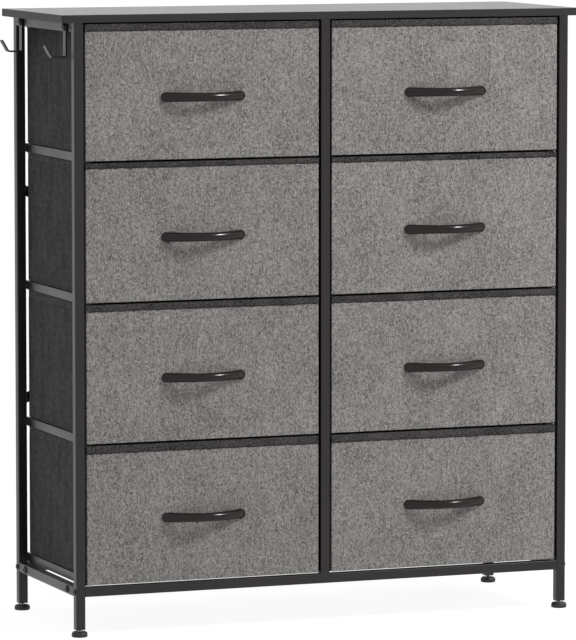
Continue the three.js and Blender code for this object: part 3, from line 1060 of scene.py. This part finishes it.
def piping(low, high):
    """Sewn piping up the two rear corners and round the sides and rear of the floor."""
    def radius_at(_):
        return PIPING_RADIUS

    mesh = bmesh.new()
    left, right = low.x + PIPING_INSET, high.x - PIPING_INSET
    rear = high.y - PIPING_INSET
    base = low.z + PIPING_LIFT
    top = high.z - BOX_HEM_HEIGHT + PIPING_UNDER_HEM
    for x in (left, right):
        path = [(x, rear, base), (x, rear, (low.z + top) / 2), (x, rear, top)]
        add_rod(mesh, path, radius_at, PIPING_SEGMENTS, (1, 0, 0))
    front_end, turn = low.y + PIPING_FRONT_GAP, high.y - PIPING_TURN
    path = [(left, front_end, base), (left, turn, base), (low.x + PIPING_TURN, rear, base),
            (high.x - PIPING_TURN, rear, base), (right, turn, base), (right, front_end, base)]
    add_rod(mesh, path, radius_at, PIPING_SEGMENTS, (0, 0, 1))
    return mesh


def base_board(low, high):
    """Stiff cloth-covered board lying in the drawer."""
    margin = BOX_WALL + BASE_BOARD_MARGIN
    floor = low.z + BOX_WALL
    board_low = Vector((low.x + margin, low.y + margin, floor))
    board_high = Vector((high.x - margin, high.y - margin, floor + BASE_BOARD_THICKNESS))
    mesh = new_box(board_low, board_high)
    round_edges(mesh, edges_along(mesh, Z), BASE_BOARD_CORNER, CORNER_STEPS)
    round_edges(mesh, square_edges(mesh), BASE_BOARD_ROUNDING, EDGE_STEPS)
    return mesh


def front_panel(low, high, seed):
    """Stiff board wrapped in linen-look cloth, not quite flat."""
    mesh = new_box(low, high)
    round_edges(mesh, mesh.edges[:], FRONT_ROUNDING, FRONT_STEPS)
    cut_across(mesh, X, low.x, high.x, FRONT_PITCH)
    cut_across(mesh, Z, low.z, high.z, FRONT_PITCH)
    for vert in mesh.verts:
        if vert.co.y > low.y + TOUCHING:
            continue
        place = Vector((vert.co.x, 0, vert.co.z)) / FRONT_WAVE_LENGTH + Vector((seed, 0, 0))
        held = (ease(vert.co.x, low.x, high.x, FRONT_HOLD)
                * ease(vert.co.z, low.z, high.z, FRONT_HOLD))
        vert.co.y += FRONT_WAVE * (WAVE_MEAN + noise.noise(place)) * held
    return mesh


def front_hem(low, high, height, seed):
    """Dark binding folded over the top of the front, its lower edge drawn in by the seam."""
    hem_low = Vector((low.x - HEM_OVERHANG, low.y - HEM_PROUD, high.z - height))
    hem_high = Vector((high.x + HEM_OVERHANG, high.y + HEM_PROUD, high.z))
    mesh = new_box(hem_low, hem_high)
    rims = [e for e in mesh.edges if any(v.co.z > hem_low.z + TOUCHING for v in e.verts)]
    round_edges(mesh, rims, HEM_ROUNDING, CORNER_STEPS)
    cut_across(mesh, X, hem_low.x, hem_high.x, HEM_PITCH)
    cut_across(mesh, Z, hem_low.z, hem_low.z + 2 * HEM_TUCK_HEIGHT, HEM_TUCK_HEIGHT)
    cut_across(mesh, Z, hem_low.z + HEM_TUCK_HEIGHT, hem_high.z, HEM_RISE_PITCH)
    for vert in mesh.verts:
        place = Vector((vert.co.x / HEM_WAVE_LENGTH, vert.co.z / HEM_WAVE_LENGTH, seed))
        ripple = noise.noise(place) * ease(vert.co.x, hem_low.x, hem_high.x, HEM_HOLD)
        on_lower_edge = vert.co.z < hem_low.z + TOUCHING
        if vert.co.y < hem_low.y + TOUCHING:
            vert.co.y += HEM_WAVE * (WAVE_MEAN + ripple)
            if on_lower_edge:
                vert.co.y += HEM_TUCK
        if on_lower_edge:
            vert.co.z += HEM_EDGE_WAVE * ripple
    return mesh


def bezier(points, share):
    rest = 1 - share
    weights = (rest ** 3, 3 * rest * rest * share, 3 * rest * share * share, share ** 3)
    return [sum(w * p[axis] for w, p in zip(weights, points)) for axis in (0, 1)]


def bow_reach(half, reach, x):
    """How far one side of the bow stands off the front at x, or 0 outside its ends."""
    if abs(x) >= half:
        return 0.0
    points = ((half, 0), (half, reach * HANDLE_RISE_SHARE),
              (half * HANDLE_CROWN_SHARE, reach), (0, reach))
    low, high = 0.0, 1.0
    for _ in range(BISECTIONS):
        middle = (low + high) / 2
        if bezier(points, middle)[0] > abs(x):
            low = middle
        else:
            high = middle
    return bezier(points, low)[1]


def band_half_height(x):
    """Half the handle's height at x: round ends, and a slight waist between them."""
    end_radius = HANDLE_END_HEIGHT / 2
    end_x = HANDLE_LENGTH / 2 - end_radius
    if abs(x) > end_x:
        return math.sqrt(max(0.0, end_radius ** 2 - (abs(x) - end_x) ** 2))
    return HANDLE_WAIST / 2 + (end_radius - HANDLE_WAIST / 2) * (x / end_x) ** 2


def handle_mesh(centre, face_y):
    """Bow handle: D-shaped sections along the bow, round in front and flat behind."""
    mesh = bmesh.new()
    half = HANDLE_LENGTH / 2
    inner_half = half - HANDLE_FOOT
    rings = []
    for station in range(HANDLE_STATIONS + 1):
        turn = math.pi * (station / HANDLE_STATIONS * HANDLE_SWEEP + HANDLE_SWEEP_START)
        x = -half * math.cos(turn)
        outer = bow_reach(half, HANDLE_REACH, x)
        inner = bow_reach(inner_half, HANDLE_REACH - HANDLE_BAND, x)
        height = band_half_height(x)

        def place_at(angle, x=x, outer=outer, inner=inner, height=height):
            cosine = math.cos(angle)
            seam = outer - (outer - inner) * HANDLE_FACE_SHARE
            if cosine > 0:
                depth = seam + (outer - seam) * cosine
            else:
                depth = seam - (seam - inner) * abs(cosine) ** HANDLE_BACK_SQUARENESS
            return Vector((centre.x + x, face_y - depth, centre.z + height * math.sin(angle)))

        rings.append(add_ring(mesh, HANDLE_SEGMENTS, place_at))
    skin(mesh, rings)
    return mesh


def add_drawer(side, row):
    body = f"drawer_{side}_{row}"
    seed = row * ROW_SEED_STEP + SIDES.index(side) * SIDE_SEED_STEP
    low, high = corners(f"{body}_box")
    add_piece(f"{body}_cloth_box", cloth_box(low, high, seed), BOX_CLOTH, body,
              (f"{body}_box",))
    hem_rise = BOX_HEM_RISE if row > min(ROWS) else 0.0
    add_piece(f"{body}_box_hem", box_hem(low, high, hem_rise), BINDING, body)
    add_piece(f"{body}_piping", piping(low, high), BINDING, body)
    add_piece(f"{body}_base_board", base_board(low, high), BOX_CLOTH, body)
    front_low, front_high = corners(f"{body}_front")
    linen_high = front_high - Vector((0, 0, LINEN_TOP_DROP))
    lift = LINEN_LIFT if row < max(ROWS) else -LOWEST_LINEN_DROP
    linen_low = front_low + Vector((LINEN_INSET, 0, lift))
    add_piece(f"{body}_linen_front", front_panel(linen_low, linen_high, seed), LINEN, body,
              (f"{body}_front",))
    hem_height = HEM_HEIGHTS[row - 1]
    hem = front_hem(front_low, front_high, hem_height, seed)
    add_piece(f"{body}_front_hem", hem, BINDING, body)
    add_drawer_stitches(body, low, high, front_low, front_high, hem_height)
    handle_low, handle_high = corners(f"{body}_handle")
    centre = (handle_low + handle_high) / 2
    add_piece(f"{body}_bow_handle", handle_mesh(centre, handle_high.y), HANDLE_ABS, body,
              (f"{body}_handle",))
    add_handle_screws(body, centre, low.y + BOX_WALL)


def add_drawer_stitches(body, low, high, front_low, front_high, hem_height):
    """Seams along the hems of the box's sides and rear, and along the front's hem."""
    mesh = bmesh.new()
    level = high.z - BOX_HEM_HEIGHT + STITCH_RISE
    inset = BOX_STITCH_INSET
    for x, outward in ((low.x - BOX_HEM_PROUD, -1), (high.x + BOX_HEM_PROUD, 1)):
        start, end = (x, low.y + inset, level), (x, high.y - inset, level)
        add_stitches(mesh, start, end, (outward, 0, 0))
    rear = high.y + BOX_HEM_PROUD
    start, end = (low.x + inset, rear, level), (high.x - inset, rear, level)
    add_stitches(mesh, start, end, (0, 1, 0))
    level = front_high.z - hem_height + STITCH_RISE
    inset = FRONT_STITCH_INSET
    face = front_low.y - HEM_PROUD + HEM_WAVE / 2
    start, end = (front_low.x + inset, face, level), (front_high.x - inset, face, level)
    add_stitches(mesh, start, end, (0, -1, 0))
    add_piece(f"{body}_stitches", mesh, THREAD_AND_SHADE_LINE, body)


def add_handle_screws(body, centre, face_y):
    mesh = bmesh.new()
    for x in (centre.x - HANDLE_HOLE_HALF, centre.x + HANDLE_HOLE_HALF):
        add_screw(mesh, (x, face_y, centre.z), (0, 1, 0), PAN_SCREW, cross_share)
    add_piece(f"{body}_handle_screws", mesh, SCREW_STEEL, body)


# Stage

def add_floor():
    """Pale floor that shows white to the camera and to reflections, and keeps the shadow."""
    mesh = bmesh.new()
    bmesh.ops.create_grid(mesh, x_segments=1, y_segments=1, size=FLOOR_HALF_WIDTH * MM)
    data = bpy.data.meshes.new("floor")
    mesh.to_mesh(data)
    mesh.free()
    floor = bpy.data.objects.new("floor", data)
    bpy.context.scene.collection.objects.link(floor)
    material, tree = new_material("painted_floor_white")
    rays = add_node(tree, "ShaderNodeLightPath").outputs
    seen = seen_rays(tree, rays)
    plain = add_node(tree, "ShaderNodeBsdfDiffuse", {"Color": linear("#e6e6e6")})
    shade = add_node(tree, "ShaderNodeBsdfDiffuse", {"Color": (FLOOR_SHADE_SHARE,) * 3 + (1,)})
    glow = add_node(tree, "ShaderNodeEmission", {"Color": (1, 1, 1, 1), "Strength": FLOOR_GLOW})
    shown = add_node(tree, "ShaderNodeAddShader", {0: shade.outputs[0], 1: glow.outputs[0]})
    mixed = add_node(tree, "ShaderNodeMixShader",
                     {0: seen, 1: plain.outputs[0], 2: shown.outputs[0]})
    add_node(tree, "ShaderNodeOutputMaterial", {"Surface": mixed.outputs[0]})
    data.materials.append(material)


def seen_rays(tree, rays):
    """1 for camera, glossy and transmission rays, 0 for the rest."""
    result = rays["Is Camera Ray"]
    for name in ("Is Glossy Ray", "Is Transmission Ray"):
        result = add_node(tree, "ShaderNodeMath", {0: result, 1: rays[name]},
                          operation="MAXIMUM").outputs["Value"]
    return result


def set_world():
    world = bpy.data.worlds.new("studio")
    bpy.context.scene.world = world
    world.use_nodes = True
    tree = world.node_tree
    tree.nodes.clear()
    rays = add_node(tree, "ShaderNodeLightPath").outputs
    level = add_node(tree, "ShaderNodeMapRange",
                     {"Value": seen_rays(tree, rays), "To Min": WORLD_LIGHT, "To Max": 1.0})
    back = add_node(tree, "ShaderNodeBackground",
                    {"Color": (1, 1, 1, 1), "Strength": level.outputs["Result"]})
    add_node(tree, "ShaderNodeOutputWorld", {"Surface": back.outputs[0]})


def add_key_light():
    azimuth, elevation = math.radians(KEY_AZIMUTH), math.radians(KEY_ELEVATION)
    towards = Vector((math.sin(azimuth) * math.cos(elevation),
                      -math.cos(azimuth) * math.cos(elevation), math.sin(elevation)))
    data = bpy.data.lights.new("key_softbox", "AREA")
    data.energy = KEY_WATTS
    data.size = KEY_WIDTH * MM
    light = bpy.data.objects.new("key_softbox", data)
    light.location = (Vector(KEY_TARGET) + towards * KEY_DISTANCE) * MM
    light.rotation_euler = (-towards).to_track_quat("-Z", "Y").to_euler()
    bpy.context.scene.collection.objects.link(light)


def add_camera():
    data = bpy.data.cameras.new("camera")
    data.lens = CAMERA_LENS
    data.sensor_width = SENSOR
    data.clip_end = CAMERA_REACH
    camera = bpy.data.objects.new("camera", data)
    camera.location = Vector(CAMERA_PLACE) * MM
    camera.rotation_euler = (math.radians(90 + CAMERA_PITCH), 0, -math.radians(CAMERA_AZIMUTH))
    bpy.context.scene.collection.objects.link(camera)
    bpy.context.scene.camera = camera


add_camera()
add_floor()
set_world()
add_key_light()
bpy.context.scene.view_settings.view_transform = "Standard"

add_board()
add_frame_tubes()
for side in SIDES:
    add_side_welds(side)
add_centre_welds()
for place in PLACES:
    add_rail_plugs(place)
add_leg_plugs()
for depth in DEPTHS:
    add_hook(depth)
    for side in SIDES:
        add_foot(depth, side)
add_hook_screws()
add_frame_screws()
add_board_screws()
add_braces()
for side in SIDES:
    for row in ROWS:
        add_drawer(side, row)
